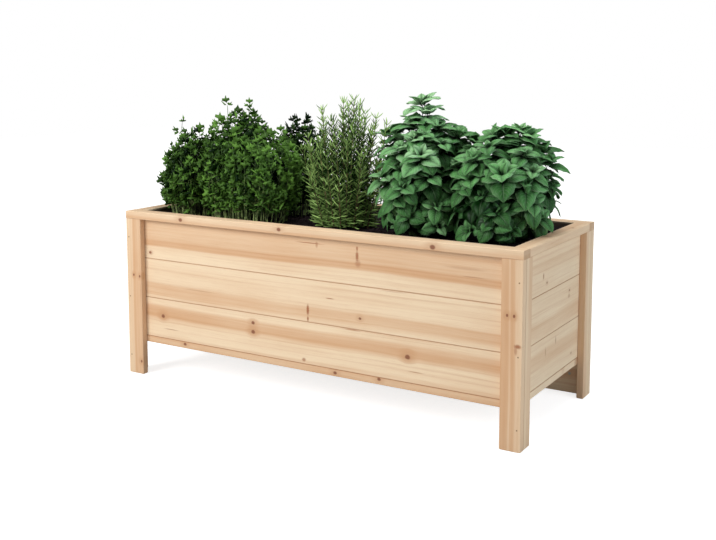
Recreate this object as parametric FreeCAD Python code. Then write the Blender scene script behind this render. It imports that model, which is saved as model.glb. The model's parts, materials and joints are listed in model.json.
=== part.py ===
"""Raised garden bed of softwood boards on four corner legs, filled with soil and planted with herbs.

Frame: origin at the middle of the footprint on the ground, +X along the length, +Y to the back, +Z up.
All lengths are in millimetres.
"""
import FreeCAD, Part
import math
import os
from FreeCAD import Vector

# ---- driving dimensions ------------------------------------------------------------------------
bed_length = 1024.0
bed_width = 422.0
bed_height = 400.0

# flat rim that caps the walls and the leg tops
rim_thick = 18.0
rim_width = 34.0
rim_ease = 1.2

# corner legs, each an L of a face board and a side board
leg_thick = 16.0
leg_face_width = 45.0
leg_side_width = 32.0
leg_foot_chamfer = 2.5

# tongue-and-groove wall boards
board_thick = 16.0
board_face = 95.6
board_courses = 3
board_ease = 1.1
tongue_thick = 5.0
tongue_height = 6.0
tongue_clearance = 0.2
skirt_ground_gap = 5.0

# rails under the walls, and the slatted floor on them
rail_thick = 16.0
rail_width = 34.0
slat_thick = 10.0
slat_width = 72.0
slat_gap = 7.0
slat_end_clearance = 1.0
batten_width = 40.0
batten_thick = 16.0
batten_top_gap = 8.0
edge_ease = 1.0

# lining and soil
liner_thick = 1.2
liner_clearance = 0.5
liner_top_gap = 2.0
soil_below_rim = 22.0

# fasteners
nail_shank = 2.4
nail_head = 3.4
nail_head_thick = 1.0
leg_nail_length = 42.0
leg_nail_end_distance = 45.0
screw_shank = 3.6
screw_head = 7.2
wall_screw_length = 28.0
rail_screw_length = 45.0
rail_screw_pitch = 400.0
batten_screw_length = 28.0
fastener_clearance = 0.05
fastener_sides = 6
dowel_diameter = 8.0
dowel_length = 28.0
dowel_in_rim = 11.0
dowel_end_clearance = 0.5
dowel_chamfer = 1.0
dowel_sides = 10
dowel_pitch = 380.0

# herbs: shapes of their shoots
crown_radius = 17.0
crown_height = 9.0
crown_sides = 8
parsley_stalk_radius = 2.2
parsley_head_radius = 20.0
rosemary_stem_radius = 3.0
rosemary_spire_radius = 11.5
mint_stem_radius = 2.4
mint_leaf_reach = 30.0
mint_whorls = 4

# herbs: place of each crown on the soil, reach of its shoots from the crown, height and number of shoots
left_parsley_from_end = 48.0
left_parsley_from_front = 115.0
left_parsley_reach = 46.0
left_parsley_height = 205.0
left_parsley_shoots = 9
middle_parsley_from_end = 198.0
middle_parsley_from_front = 139.0
middle_parsley_reach = 62.0
middle_parsley_height = 272.0
middle_parsley_shoots = 12
back_parsley_from_end = 275.0
back_parsley_from_back = 84.0
back_parsley_reach = 36.0
back_parsley_height = 226.0
back_parsley_shoots = 6
rosemary_from_middle = 18.0
rosemary_from_front = 164.0
rosemary_reach = 98.0
rosemary_height = 298.0
rosemary_shoots = 15
middle_mint_from_end = 282.0
middle_mint_from_front = 155.0
middle_mint_reach = 88.0
middle_mint_height = 306.0
middle_mint_shoots = 8
right_mint_from_end = 90.0
right_mint_from_front = 167.0
right_mint_reach = 92.0
right_mint_height = 252.0
right_mint_shoots = 9

# ---- worked out --------------------------------------------------------------------------------
half_length = bed_length / 2
half_width = bed_width / 2
rim_bottom = bed_height - rim_thick
wall_out_x = half_length - leg_thick
wall_out_y = half_width - leg_thick
wall_in_x = wall_out_x - board_thick
wall_in_y = wall_out_y - board_thick
rim_in_x = half_length - rim_width
rim_in_y = half_width - rim_width
wall_bottom = rim_bottom - board_courses * board_face
rail_bottom = wall_bottom - rail_thick
floor_top = wall_bottom + slat_thick
soil_top = bed_height - soil_below_rim
leg_screw_x = (wall_in_x + half_length - leg_face_width) / 2
leg_screw_y = (wall_in_y + wall_out_y - leg_side_width) / 2

SIDES = (("left", -1), ("right", 1))
ENDS = (("front", -1), ("back", 1))


# ---- helpers -----------------------------------------------------------------------------------
def box_between(low, high):
    """A block between two corners, given in any order."""
    lowest = [min(a, b) for a, b in zip(low, high)]
    size = [abs(b - a) for a, b in zip(low, high)]
    return Part.makeBox(*size, Vector(*lowest))


def eased(block, width, along=None):
    """The block with a small chamfer on its long edges, which run along the given axis."""
    edges = []
    for edge in block.Edges:
        run = edge.Vertexes[-1].Point - edge.Vertexes[0].Point
        if along is None or abs(run.normalize().dot(along)) > 0.99:
            edges.append(edge)
    return block.makeChamfer(width, edges)


def prism(section, origin, across, up, run):
    """A flat outline, given as (across, up) pairs, swept along the run."""
    points = [origin + across * a + up * b for a, b in section]
    wire = Part.makePolygon(points + [points[0]])
    return Part.Face(wire).extrude(run)


def ring_at(middle, radii, across, up, turn=0.0):
    """Corners of a closed flat ring, one for each radius, evenly turned about the middle."""
    corners = []
    for k, radius in enumerate(radii):
        angle = turn + 2 * math.pi * k / len(radii)
        corners.append(middle + (across * math.cos(angle) + up * math.sin(angle)) * radius)
    return corners + corners[:1]


def ringed_solid(rings):
    """A solid of flat faces between similar rings, closed at both ends."""
    faces = [Part.Face(Part.makePolygon(rings[0])), Part.Face(Part.makePolygon(rings[-1]))]
    for lower, upper in zip(rings, rings[1:]):
        for k in range(len(lower) - 1):
            outer = [lower[k], lower[k + 1], upper[k + 1], upper[k], lower[k]]
            faces.append(Part.Face(Part.makePolygon(outer)))
    return Part.makeSolid(Part.makeShell(faces))


def turned_bar(point, direction, profile, sides):
    """A straight many-sided bar from the point, with its profile as (distance, radius) pairs."""
    across = Vector(0, 0, 1) if abs(direction.z) < 0.5 else Vector(1, 0, 0)
    up = direction.cross(across)
    return ringed_solid([ring_at(point + direction * d, [r] * sides, across, up) for d, r in profile])


def nail(point, direction, length, clearance=0.0):
    """A nail whose flat head lies flush at the point, or with a clearance the hole that it sits in."""
    head = nail_head / 2 + clearance
    shank = nail_shank / 2 + clearance
    seat = nail_head_thick
    profile = [(0.0, head), (seat, head), (seat, shank), (length + clearance, shank)]
    return turned_bar(point, direction, profile, fastener_sides)


def screw(point, direction, length, clearance=0.0):
    """A countersunk screw flush at the point, or with a clearance the hole that it sits in."""
    head = screw_head / 2
    shank = screw_shank / 2 + clearance
    profile = [(0.0, head), (head - shank, shank), (length + clearance, shank)]
    return turned_bar(point, direction, profile, fastener_sides)


def cut_all(body, tools):
    """The body less every tool that reaches it."""
    near = [tool for tool in tools if tool.BoundBox.intersect(body.BoundBox)]
    return body.cut(near) if near else body


# ---- fasteners ---------------------------------------------------------------------------------
def leg_nail_places():
    """Head points and directions of the nails that join each leg's two boards."""
    heights = (leg_nail_end_distance, rim_bottom / 2, rim_bottom - leg_nail_end_distance)
    for _, side in SIDES:
        for _, end in ENDS:
            for height in heights:
                point = Vector(side * (half_length - leg_thick / 2), end * half_width, height)
                yield point, Vector(0, -end, 0)


def wall_screw_places():
    """Screws from inside each wall board into the leg boards, one at each end."""
    for _, side in SIDES:
        for name, end in ENDS:
            for low, high in courses(name):
                point = Vector(side * leg_screw_x, end * wall_in_y, (low + high) / 2)
                yield point, Vector(0, end, 0)
            for low, high in courses("side"):
                point = Vector(side * wall_in_x, end * leg_screw_y, (low + high) / 2)
                yield point, Vector(side, 0, 0)


def rail_screw_places():
    """Screws up through the front and side rails, and through the back rail into the skirt board."""
    for x in (-rail_screw_pitch, 0.0, rail_screw_pitch):
        yield Vector(x, -(wall_in_y + wall_out_y) / 2, rail_bottom), Vector(0, 0, 1)
        yield Vector(x, wall_in_y - rail_width, rail_bottom + rail_thick / 2), Vector(0, 1, 0)
    for _, side in SIDES:
        yield Vector(side * (wall_in_x + wall_out_x) / 2, 0, rail_bottom), Vector(0, 0, 1)


def batten_screw_places():
    """Screws through each middle batten into every board that it crosses."""
    for name, end in ENDS:
        for low, high in courses(name):
            height = (low + high) / 2
            if height > floor_top:
                yield Vector(0, end * (wall_in_y - batten_thick), height), Vector(0, end, 0)


def dowel_places():
    """Middles of the dowels that stand in the walls' top edges and reach into the rim."""
    middle_y = (wall_in_y + wall_out_y) / 2
    middle_x = (wall_in_x + wall_out_x) / 2
    for _, end in ENDS:
        for x in (-dowel_pitch, 0.0, dowel_pitch):
            yield Vector(x, end * middle_y, 0)
    for _, side in SIDES:
        yield Vector(side * middle_x, 0, 0)


def dowel(place):
    """A dowel with chamfered ends."""
    foot = Vector(place.x, place.y, rim_bottom + dowel_in_rim - dowel_length)
    radius = dowel_diameter / 2
    end = radius - dowel_chamfer
    profile = [(0.0, end), (dowel_chamfer, radius), (dowel_length - dowel_chamfer, radius), (dowel_length, end)]
    return turned_bar(foot, Vector(0, 0, 1), profile, dowel_sides)


def dowel_hole(place):
    """The bore for a dowel, a little longer at both ends."""
    foot = Vector(place.x, place.y, rim_bottom + dowel_in_rim - dowel_length - dowel_end_clearance)
    radius = dowel_diameter / 2 + fastener_clearance
    profile = [(0.0, radius), (dowel_length + 2 * dowel_end_clearance, radius)]
    return turned_bar(foot, Vector(0, 0, 1), profile, dowel_sides)


# ---- legs, rim and walls -----------------------------------------------------------------------
def leg_face_board(side, end):
    """The wider leg board, in the front or back plane, over the edge of the side board."""
    low = (side * half_length, end * half_width, 0)
    high = (side * (half_length - leg_face_width), end * wall_out_y, rim_bottom)
    board = box_between(low, high)
    board = eased(board, edge_ease, Vector(0, 0, 1))
    return footed(board)


def leg_side_board(side, end):
    """The narrower leg board, in the end plane behind the face board."""
    low = (side * half_length, end * wall_out_y, 0)
    high = (side * wall_out_x, end * (wall_out_y - leg_side_width), rim_bottom)
    board = box_between(low, high)
    board = eased(board, edge_ease, Vector(0, 0, 1))
    return footed(board)


def footed(board):
    """The board with its foot edges chamfered, so that they don't split when it is dragged."""
    foot_edges = [edge for edge in board.Edges if edge.BoundBox.ZMax < edge_ease]
    return board.makeChamfer(leg_foot_chamfer - edge_ease, foot_edges)


def rim_rail_long(end):
    """A rim rail along the front or back, over the full length."""
    rail = box_between((-half_length, end * half_width, rim_bottom), (half_length, end * rim_in_y, bed_height))
    return eased(rail, rim_ease, Vector(1, 0, 0))


def rim_rail_short(side):
    """A rim rail across one end, butted between the long rails."""
    rail = box_between((side * half_length, -rim_in_y, rim_bottom), (side * rim_in_x, rim_in_y, bed_height))
    return eased(rail, rim_ease, Vector(0, 1, 0))


def courses(wall):
    """Bottom and top of each board's face in a wall, from the top down. The back has a skirt board."""
    heights = [(rim_bottom - (k + 1) * board_face, rim_bottom - k * board_face) for k in range(board_courses)]
    if wall == "back":
        heights.append((skirt_ground_gap, wall_bottom))
    return heights


def board_section(height, has_tongue, has_groove):
    """Outline of a wall board: eased face edges, a tongue on top and a groove below."""
    middle = board_thick / 2
    groove_half = tongue_thick / 2 + tongue_clearance
    groove_deep = tongue_height + tongue_clearance
    section = [(board_ease, 0)]
    if has_groove:
        section += [(middle - groove_half, 0), (middle - groove_half, groove_deep)]
        section += [(middle + groove_half, groove_deep), (middle + groove_half, 0)]
    section += [(board_thick - board_ease, 0), (board_thick, board_ease)]
    section += [(board_thick, height - board_ease), (board_thick - board_ease, height)]
    if has_tongue:
        section += [(middle + tongue_thick / 2, height), (middle + tongue_thick / 2, height + tongue_height)]
        section += [(middle - tongue_thick / 2, height + tongue_height), (middle - tongue_thick / 2, height)]
    section += [(board_ease, height), (0, height - board_ease), (0, board_ease)]
    return section


def wall_boards(wall, origin_at, across, run):
    """All boards of one wall, from the top down, with the end of the wall's section at origin_at."""
    heights = courses(wall)
    boards = []
    for place, (low, high) in enumerate(heights):
        section = board_section(high - low, has_tongue=place > 0, has_groove=place < len(heights) - 1)
        boards.append(prism(section, origin_at + Vector(0, 0, low), across, Vector(0, 0, 1), run))
    return boards


def long_wall(name, end):
    """Front or back wall, from leg to leg behind the leg face boards."""
    corner = Vector(-wall_out_x, end * wall_out_y, 0)
    return wall_boards(name, corner, Vector(0, -end, 0), Vector(2 * wall_out_x, 0, 0))


def short_wall(side):
    """End wall, butted between the front and back walls."""
    corner = Vector(side * wall_out_x, -wall_in_y, 0)
    return wall_boards("side", corner, Vector(-side, 0, 0), Vector(0, 2 * wall_in_y, 0))


# ---- base, floor and battens -------------------------------------------------------------------
def front_base_rail():
    """Flat rail under the front wall, flush with its face."""
    low = (-wall_out_x, -wall_out_y, rail_bottom)
    high = (wall_out_x, rail_width - wall_out_y, wall_bottom)
    return eased(box_between(low, high), edge_ease, Vector(1, 0, 0))


def back_base_rail():
    """Flat rail inside the back wall's skirt board."""
    low = (-wall_out_x, wall_in_y - rail_width, rail_bottom)
    high = (wall_out_x, wall_in_y, wall_bottom)
    return eased(box_between(low, high), edge_ease, Vector(1, 0, 0))


def side_base_rail(side):
    """Flat rail under an end wall, butted between the front and back rails."""
    low = (side * wall_out_x, rail_width - wall_out_y, rail_bottom)
    high = (side * (wall_out_x - rail_width), wall_in_y - rail_width, wall_bottom)
    return eased(box_between(low, high), edge_ease, Vector(0, 1, 0))


def slat_middles():
    """Middle of each floor slat along the bed, evenly spread with gaps that let water out."""
    room = 2 * (wall_in_x - slat_end_clearance)
    count = int((room + slat_gap) // (slat_width + slat_gap))
    pitch = (room - slat_width) / (count - 1)
    return [slat_width / 2 - room / 2 + pitch * k for k in range(count)]


def floor_slat(x):
    """One slat across the bed, from wall to wall on the front and back rails."""
    reach = wall_in_y - slat_end_clearance
    low = (x - slat_width / 2, -reach, wall_bottom)
    slat = box_between(low, (x + slat_width / 2, reach, floor_top))
    return eased(slat, edge_ease, Vector(0, 1, 0))


def middle_batten(end):
    """Upright batten that ties the boards of a long wall together at its middle."""
    low = (-batten_width / 2, end * wall_in_y, floor_top)
    high = (batten_width / 2, end * (wall_in_y - batten_thick), rim_bottom - batten_top_gap)
    return eased(box_between(low, high), edge_ease, Vector(0, 0, 1))


# ---- lining and soil ---------------------------------------------------------------------------
def lined_space(inset, low, high):
    """The room inside the walls, set in from them and from the battens."""
    reach_x = wall_in_x - liner_clearance - inset
    reach_y = wall_in_y - liner_clearance - inset
    room = box_between((-reach_x, -reach_y, low), (reach_x, reach_y, high))
    half_batten = batten_width / 2 + liner_clearance + inset
    batten_face = wall_in_y - batten_thick - liner_clearance - inset
    for _, end in ENDS:
        room = room.cut(box_between((-half_batten, end * batten_face, low), (half_batten, end * half_width, high)))
    return room


def liner():
    """Non-woven lining that keeps the soil in and lets water through, up to just under the rim."""
    outer = lined_space(0.0, floor_top, rim_bottom - liner_top_gap)
    inner = lined_space(liner_thick, floor_top + liner_thick, rim_bottom)
    return outer.cut(inner)


def soil():
    """The soil that fills the lining."""
    return lined_space(liner_thick, floor_top + liner_thick, soil_top)


# ---- herbs -------------------------------------------------------------------------------------
def shoot(foot, tip, outline, ring, turn):
    """A leaning shoot of similar level rings, given as (share of its height, radius)."""
    rings = []
    for share, radius in outline:
        middle = foot + (tip - foot) * share
        rings.append(ring_at(middle, [radius * reach for reach in ring], Vector(1, 0, 0), Vector(0, 1, 0), turn))
    return ringed_solid(rings)


ROUND_RING = (1.0,) * 5
THREE_LEAF_RING = (1.0, 0.45) * 3


def parsley_outline():
    """A thin stalk with a flat leafy head."""
    stalk, head = parsley_stalk_radius, parsley_head_radius
    return [(0.0, stalk), (0.66, stalk), (0.77, head * 0.85), (0.90, head), (1.0, head * 0.25)]


def rosemary_outline():
    """A slim upright spire, bare at its foot."""
    stem, spire = rosemary_stem_radius, rosemary_spire_radius
    return [(0.0, stem * 0.85), (0.10, stem), (0.25, spire * 0.9), (0.80, spire), (1.0, spire * 0.15)]


def mint_outline():
    """A stem with whorls of leaves, which get smaller towards the tip."""
    stem = mint_stem_radius
    step = 0.84 / mint_whorls
    outline = [(0.0, stem)]
    for whorl in range(mint_whorls):
        level = 0.18 + step * whorl
        reach = mint_leaf_reach * (1.0 - 0.6 * whorl / mint_whorls)
        outline += [(level, stem), (level + step / 4, reach), (level + step / 2, stem)]
    return outline + [(1.0, stem * 0.6)]


def herb(x, y, reach, height, count, outline, ring):
    """A crown on the soil with shoots that fan out by the golden angle, lower towards the edge."""
    base = Vector(x, y, soil_top)
    pieces = []
    for k in range(count):
        share = math.sqrt((k + 0.35) / count)
        angle = k * math.pi * (3 - math.sqrt(5))
        out = Vector(math.cos(angle), math.sin(angle), 0) * share
        foot = base + out * crown_radius * 0.5
        tip_height = height * (1.0 - 0.42 * share ** 2 - 0.06 * (k % 3))
        tip = base + out * reach + Vector(0, 0, tip_height)
        pieces.append(shoot(foot, tip, outline, ring, angle))
    crown_profile = [(0.0, crown_radius), (crown_height, crown_radius * 0.6)]
    crown = turned_bar(base, Vector(0, 0, 1), crown_profile, crown_sides)
    return crown.multiFuse(pieces).removeSplitter()


def parsley_left():
    """The low parsley plant in the front left corner."""
    x = left_parsley_from_end - wall_in_x
    y = left_parsley_from_front - wall_in_y
    size = (left_parsley_reach, left_parsley_height, left_parsley_shoots)
    return herb(x, y, *size, parsley_outline(), ROUND_RING)


def parsley_middle():
    """The tall parsley plant beside the rosemary."""
    x = middle_parsley_from_end - wall_in_x
    y = middle_parsley_from_front - wall_in_y
    size = (middle_parsley_reach, middle_parsley_height, middle_parsley_shoots)
    return herb(x, y, *size, parsley_outline(), ROUND_RING)


def parsley_back():
    """The parsley plant at the back, behind the other two."""
    x = back_parsley_from_end - wall_in_x
    y = wall_in_y - back_parsley_from_back
    size = (back_parsley_reach, back_parsley_height, back_parsley_shoots)
    return herb(x, y, *size, parsley_outline(), ROUND_RING)


def rosemary():
    """The rosemary bush near the middle of the bed."""
    y = rosemary_from_front - wall_in_y
    size = (rosemary_reach, rosemary_height, rosemary_shoots)
    return herb(-rosemary_from_middle, y, *size, rosemary_outline(), ROUND_RING)


def mint_middle():
    """The taller mint plant, beside the rosemary."""
    x = wall_in_x - middle_mint_from_end
    y = middle_mint_from_front - wall_in_y
    size = (middle_mint_reach, middle_mint_height, middle_mint_shoots)
    return herb(x, y, *size, mint_outline(), THREE_LEAF_RING)


def mint_right():
    """The mint plant in the right end of the bed."""
    x = wall_in_x - right_mint_from_end
    y = right_mint_from_front - wall_in_y
    size = (right_mint_reach, right_mint_height, right_mint_shoots)
    return herb(x, y, *size, mint_outline(), THREE_LEAF_RING)


# ---- assembly ----------------------------------------------------------------------------------
def bed_parts():
    """Every node's name and shape."""
    gap = fastener_clearance
    nail_holes = [nail(p, d, leg_nail_length, gap) for p, d in leg_nail_places()]
    wall_screw_holes = [screw(p, d, wall_screw_length, gap) for p, d in wall_screw_places()]
    rail_screw_holes = [screw(p, d, rail_screw_length, gap) for p, d in rail_screw_places()]
    batten_holes = [screw(p, d, batten_screw_length, gap) for p, d in batten_screw_places()]
    dowel_holes = [dowel_hole(place) for place in dowel_places()]

    parts = {}
    for side_name, side in SIDES:
        for end_name, end in ENDS:
            corner = f"leg_{end_name}_{side_name}"
            leg_holes = nail_holes + wall_screw_holes
            parts[f"{corner}_face_board"] = cut_all(leg_face_board(side, end), leg_holes)
            parts[f"{corner}_side_board"] = cut_all(leg_side_board(side, end), leg_holes)
    for end_name, end in ENDS:
        parts[f"rim_{end_name}"] = cut_all(rim_rail_long(end), dowel_holes)
    for side_name, side in SIDES:
        parts[f"rim_{side_name}"] = cut_all(rim_rail_short(side), dowel_holes)

    board_holes = wall_screw_holes + rail_screw_holes + batten_holes + dowel_holes
    walls = {end_name: long_wall(end_name, end) for end_name, end in ENDS}
    walls.update({side_name: short_wall(side) for side_name, side in SIDES})
    course_names = ("upper", "middle", "lower", "skirt")
    for wall_name, boards in walls.items():
        for course_name, board in zip(course_names, boards):
            parts[f"{wall_name}_board_{course_name}"] = cut_all(board, board_holes)

    rails = {"front": front_base_rail(), "back": back_base_rail()}
    rails.update({side_name: side_base_rail(side) for side_name, side in SIDES})
    for rail_name, rail in rails.items():
        parts[f"base_rail_{rail_name}"] = cut_all(rail, rail_screw_holes)
    for place, x in enumerate(slat_middles()):
        parts[f"floor_slat_{place + 1:02d}"] = floor_slat(x)
    for end_name, end in ENDS:
        parts[f"batten_{end_name}"] = cut_all(middle_batten(end), batten_holes)

    parts["leg_nails"] = [nail(p, d, leg_nail_length) for p, d in leg_nail_places()]
    parts["wall_screws"] = [screw(p, d, wall_screw_length) for p, d in wall_screw_places()]
    parts["rail_screws"] = [screw(p, d, rail_screw_length) for p, d in rail_screw_places()]
    parts["batten_screws"] = [screw(p, d, batten_screw_length) for p, d in batten_screw_places()]
    parts["rim_dowels"] = [dowel(place) for place in dowel_places()]
    parts["liner"] = liner()
    parts["soil"] = soil()
    for herb_plant in (parsley_left, parsley_middle, parsley_back, rosemary, mint_middle, mint_right):
        parts[herb_plant.__name__] = herb_plant()
    return parts


def main():
    os.makedirs("parts", exist_ok=True)
    for name, made in bed_parts().items():
        shape = Part.makeCompound(made) if isinstance(made, list) else made
        shape.exportStep(f"parts/{name}.step")


main()
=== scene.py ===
"""Raised garden bed of pale softwood, filled with soil and planted with parsley, rosemary and mint."""
import json
import math
import random
import re

import bpy
import numpy as np
from bpy.props import FloatProperty, FloatVectorProperty, IntProperty, PointerProperty
from mathutils import Matrix, Vector

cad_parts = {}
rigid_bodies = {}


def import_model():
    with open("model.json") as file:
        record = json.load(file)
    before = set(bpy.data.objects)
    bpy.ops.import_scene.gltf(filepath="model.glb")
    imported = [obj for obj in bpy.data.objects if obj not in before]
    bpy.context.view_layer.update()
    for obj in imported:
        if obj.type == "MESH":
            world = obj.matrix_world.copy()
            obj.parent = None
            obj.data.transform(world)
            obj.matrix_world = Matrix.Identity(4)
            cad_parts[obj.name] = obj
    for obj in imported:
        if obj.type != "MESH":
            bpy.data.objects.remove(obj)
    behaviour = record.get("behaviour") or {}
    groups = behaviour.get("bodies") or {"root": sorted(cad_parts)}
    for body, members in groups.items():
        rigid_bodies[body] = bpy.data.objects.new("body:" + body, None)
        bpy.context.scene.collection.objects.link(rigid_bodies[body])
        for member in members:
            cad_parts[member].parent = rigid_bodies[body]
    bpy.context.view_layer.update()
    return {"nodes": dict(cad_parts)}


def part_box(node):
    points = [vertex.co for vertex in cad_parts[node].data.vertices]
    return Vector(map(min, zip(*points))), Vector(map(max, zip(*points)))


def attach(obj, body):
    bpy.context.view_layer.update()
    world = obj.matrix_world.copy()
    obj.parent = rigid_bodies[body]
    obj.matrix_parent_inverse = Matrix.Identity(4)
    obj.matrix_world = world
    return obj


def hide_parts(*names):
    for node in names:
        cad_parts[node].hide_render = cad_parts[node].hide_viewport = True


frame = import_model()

bl_info = {
    "name": "Planted raised garden bed",
    "version": (1, 0, 0),
    "blender": (4, 5, 0),
    "location": "3D View > Sidebar > Garden Bed",
    "description": "Dresses a softwood garden bed and grows its soil and herbs",
    "category": "Object",
}

SOIL_LOW, SOIL_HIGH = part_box("soil")
SOIL_TOP = SOIL_HIGH.z

# Where boards meet: the heights of the walls' joints, the joint between a leg's two boards, and the
# inner edges of the rim. Dust and painted shade darken the joints, and a soil stain and painted shade
# the rim's inner edges.
COURSES = [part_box(f"front_board_{level}")[0].z for level in ("lower", "middle", "upper")]
COURSES.append(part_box("rim_front")[0].z)
LEG_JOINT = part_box("leg_back_right_face_board")[0].y
RIM_OPENING = Vector((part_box("rim_right")[0].x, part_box("rim_back")[0].y))
RIM_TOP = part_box("rim_front")[1].z

GOLDEN_ANGLE = math.pi * (3 - math.sqrt(5))


# ---- colours and shader maths ------------------------------------------------------------------
def paint(red, green, blue):
    """A linear colour from the 0 to 255 values of a paint chart."""
    return tuple(((c / 255 + 0.055) / 1.055) ** 2.4 for c in (red, green, blue))


def rgba(colour):
    return (*colour[:3], 1.0)


class Sock:
    """An output of a shader node that takes Python arithmetic."""

    def __init__(self, shader, socket):
        self.shader = shader
        self.socket = socket

    def other(self, name):
        """Another output of the same node."""
        return Sock(self.shader, self.socket.node.outputs[name])

    def maths(self, operation, *values):
        return self.shader.node("ShaderNodeMath", {"operation": operation}, values)

    def __add__(self, value):
        return self.maths("ADD", self, value)

    def __radd__(self, value):
        return self.maths("ADD", value, self)

    def __sub__(self, value):
        return self.maths("SUBTRACT", self, value)

    def __rsub__(self, value):
        return self.maths("SUBTRACT", value, self)

    def __mul__(self, value):
        return self.maths("MULTIPLY", self, value)

    def __rmul__(self, value):
        return self.maths("MULTIPLY", value, self)

    def __truediv__(self, value):
        return self.maths("DIVIDE", self, value)

    def __rtruediv__(self, value):
        return self.maths("DIVIDE", value, self)

    def __pow__(self, value):
        return self.maths("POWER", self, value)

    def __rpow__(self, value):
        return self.maths("POWER", value, self)

    def __abs__(self):
        return self.maths("ABSOLUTE", self)

    def sine(self):
        return self.maths("SINE", self)

    def root(self):
        return self.maths("SQRT", self)

    def at_most(self, value):
        return self.maths("MINIMUM", self, value)

    def at_least(self, value):
        return self.maths("MAXIMUM", self, value)

    def clamped(self):
        return self.at_least(0.0).at_most(1.0)

    def fade(self, start, end, low=0.0, high=1.0):
        """A smooth step from low at start to high at end."""
        settings = {"interpolation_type": "SMOOTHSTEP"}
        return self.shader.node("ShaderNodeMapRange", settings, (self, start, end, low, high))


class Shader:
    """The node tree of a material or a world, with one method that adds any node."""

    def __init__(self, owner, end="ShaderNodeOutputMaterial"):
        self.owner = owner
        owner.use_nodes = True
        self.tree = owner.node_tree
        self.tree.nodes.clear()
        self.end = self.tree.nodes.new(end)

    def node(self, kind, settings=None, inputs=(), output=0):
        made = self.tree.nodes.new(kind)
        for key, value in (settings or {}).items():
            setattr(made, key, value)
        pairs = inputs.items() if isinstance(inputs, dict) else enumerate(inputs)
        for key, value in pairs:
            if isinstance(value, Sock):
                self.tree.links.new(value.socket, made.inputs[key])
            else:
                made.inputs[key].default_value = value
        return Sock(self, made.outputs[output])

    def mix(self, share, first, second, blend="MIX"):
        """A blend of two colours."""
        settings = {"data_type": "RGBA", "blend_type": blend}
        return self.node("ShaderNodeMix", settings, {0: share, 6: first, 7: second}, output=2)

    def noise(self, vector, scale, detail=2.0, roughness=0.5, distortion=0.0):
        values = {"Vector": vector, "Scale": scale, "Detail": detail, "Roughness": roughness}
        values["Distortion"] = distortion
        return self.node("ShaderNodeTexNoise", None, values)

    def vector(self, x, y, z):
        return self.node("ShaderNodeCombineXYZ", None, (x, y, z))

    def place(self):
        """The place on the object, in metres."""
        return self.node("ShaderNodeTexCoord", output="Object")

    def split(self, vector):
        parts = self.node("ShaderNodeSeparateXYZ", None, (vector,))
        return parts, parts.other("Y"), parts.other("Z")

    def attribute(self, name, output="Fac"):
        return self.node("ShaderNodeAttribute", {"attribute_name": name}, output=output)

    def bump(self, height, strength, distance):
        values = {"Height": height, "Strength": strength, "Distance": distance}
        return self.node("ShaderNodeBump", None, values)

    def end_in(self, shade):
        """Ends the tree in a shader and gives back the material or the world."""
        self.tree.links.new(shade.socket, self.end.inputs["Surface"])
        return self.owner

    def surface(self, **values):
        """Ends the tree in a Principled surface and gives back the material."""
        inputs = {key.replace("_", " "): value for key, value in values.items()}
        return self.end_in(self.node("ShaderNodeBsdfPrincipled", None, inputs))


def new_skin(name):
    return Shader(bpy.data.materials.new(name))


# ---- wood --------------------------------------------------------------------------------------
class WoodLook:
    """What sets one board apart: its grain direction, its broad bands, its knots and its marks.

    Places along and across the board are metres in the bed's frame. A band is (low, high, blur, depth),
    a knot (along, across, radius), a mark (along, across, half length, half width, depth) and a seam
    (axis, place, depth), where dust and shade darken the joint with the next board.
    """

    def __init__(self, grain, across, bands=(), knots=(), marks=(), seams=(), tone=0.0, seed=0):
        self.grain = grain
        self.across = across
        self.bands = bands
        self.knots = knots
        self.marks = marks
        self.seams = seams
        self.tone = tone
        self.seed = seed
        self.soil_stained_and_shaded = False


# How dense the grain's patterns are along, across and through a board, per metre.
GRAIN_WANDER = (2.2, 7, 7)
GROWTH_LINES = (1.1, 170, 60)
FIBRES = (26, 1500, 900)
STREAKS = (3.5, 46, 30)
BLOTCHES = (4.5, 14, 6)
KNOT_GRAIN = 130
END_RINGS = (260, 130)

# A knot's core and halo fade out between these multiples of its radius.
KNOT_CORE = (1.15, 0.55)
KNOT_HALO = (4.2, 0.8)

SEED_STEP = 3.7
FIRST_HIDDEN_SEED = 40
HIDDEN_TONE = 0.16
# How dark the dust and painted shade in a joint get, and how far from the joint they fade.
SEAM_DEPTH = 0.55
SEAM_FADE = (0.0018, 0.0006)
# The soil stain and painted shade on the rim's inner edge: how far from the opening it reaches, and the
# heights below the rim's top where it fades in.
SOIL_AND_SHADE_MARK_WIDTH = (0.006, 0.002)
SOIL_AND_SHADE_MARK_BELOW = (0.0005, -0.0060)
WOOD_RELIEF = 0.0005


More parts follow.
